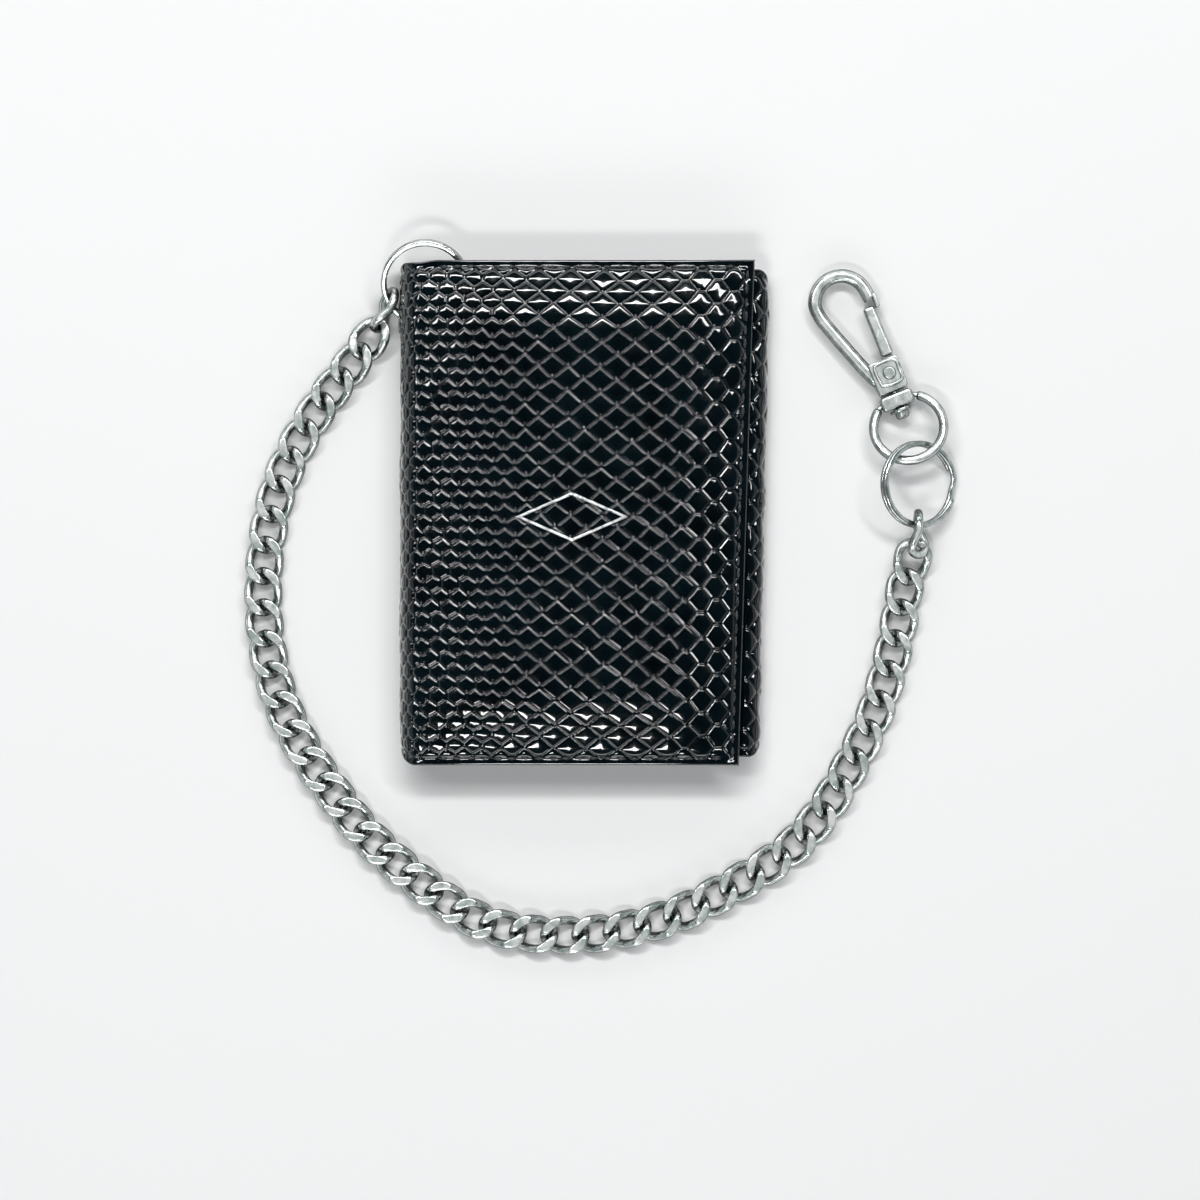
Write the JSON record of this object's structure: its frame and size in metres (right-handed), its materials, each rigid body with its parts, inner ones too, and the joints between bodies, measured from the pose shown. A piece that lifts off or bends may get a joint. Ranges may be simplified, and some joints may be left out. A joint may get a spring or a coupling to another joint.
{
  "type": "trifold chain wallet",
  "caption": "Trifold wallet in embossed patent leather with a crowned front flap, a split ring through an eyelet, a curb chain and a swivel snap hook",
  "frame": {"origin": "middle of the wallet's underside, under the centre of the closed wallet without its chain", "axes": "+Y runs up the wallet's long side to the edge with the ring, +X to the right-hand fold, +Z out of the front flap"},
  "size_m": [0.1616, 0.1617, 0.0151],
  "materials": {
    "patent_leather": "high-gloss black patent, snake embossed",
    "inner_leather": "satin black, fine grain",
    "lining": "black woven lining",
    "board": "grey stiffener board",
    "foam": "pale padding foam",
    "film": "clear film",
    "nickel": "bright nickel plate"
  },
  "bodies": {
    "wallet_base": {"back_leather": "patent_leather", "back_board": "board", "note_pocket_lining": "lining", "note_divider": "lining", "id_window_film": "film", "id_window_panel": "inner_leather", "right_fold_leather": "patent_leather", "spine_leather": "patent_leather", "eyelet": "nickel", "first_link": "nickel", "chain": "nickel", "last_link": "nickel"},
    "front_flap": {"flap_pocket_front": "inner_leather", "flap_pocket_middle": "inner_leather", "flap_pocket_rear": "inner_leather", "flap_lining": "lining", "flap_board": "board", "flap_pad": "foam", "flap_leather": "patent_leather"},
    "inner_panel": {"inner_pocket_front": "inner_leather", "inner_pocket_middle": "inner_leather", "inner_pocket_rear": "inner_leather", "inner_lining": "lining", "inner_board": "board", "inner_leather": "patent_leather"},
    "wallet_ring": {"wallet_ring": "nickel"},
    "hook_ring": {"hook_ring": "nickel"},
    "swivel_eye": {"swivel_eye": "nickel"},
    "swivel_barrel": {"swivel_barrel": "nickel"},
    "snap_hook": {"hook_body": "nickel", "swivel_post": "nickel", "gate_pin": "nickel"},
    "gate": {"gate": "nickel"}
  },
  "joints": [
    {"name": "front_flap_fold", "type": "hinge", "parent": "wallet_base", "child": "front_flap", "pos_m": [-0.0395, 0, 0.009], "axis": [0, -1, 0], "range_deg": [0, 110], "deforming": ["spine_leather"]},
    {"name": "inner_panel_fold", "type": "hinge", "parent": "wallet_base", "child": "inner_panel", "pos_m": [0.03665, 0, 0.0039], "axis": [0.021, 0.9998, 0], "range_deg": [0, 27.5], "deforming": ["right_fold_leather"]},
    {"name": "wallet_ring_spin", "type": "hinge", "parent": "wallet_base", "child": "wallet_ring", "pos_m": [-0.0362, 0.052, 0.00655], "axis": [0, -0.3173, 0.9483], "continuous": true},
    {"name": "hook_ring_lift", "type": "hinge", "parent": "wallet_base", "child": "hook_ring", "pos_m": [0.07556, -0.00276, 0.006], "axis": [0.8686, 0, -0.4955], "range_deg": [0, 40]},
    {"name": "swivel_eye_lift", "type": "hinge", "parent": "hook_ring", "child": "swivel_eye", "pos_m": [0.07556, 0.01574, 0.006], "axis": [0.8686, 0, -0.4955], "range_deg": [0, 30]},
    {"name": "barrel_pivot", "type": "hinge", "parent": "swivel_eye", "child": "swivel_barrel", "pos_m": [0.0708, 0.0257, 0.00265], "axis": [0.9272, 0.3746, 0], "range_deg": [0, 60]},
    {"name": "hook_swivel", "type": "hinge", "parent": "swivel_barrel", "child": "snap_hook", "pos_m": [0.0708, 0.0257, 0.00265], "axis": [-0.3746, 0.9272, 0], "continuous": true},
    {"name": "gate_pivot", "type": "hinge", "parent": "snap_hook", "child": "gate", "pos_m": [0.06896, 0.03186, 0.00265], "axis": [0, 0, 1], "range_deg": [0, 20], "stiffness_Nm_per_rad": 0.002, "springref_deg": -17.19}
  ],
  "couplings": [
    {"joint": "inner_panel_fold", "follows": "front_flap_fold", "ratio": 0.25}
  ]
}
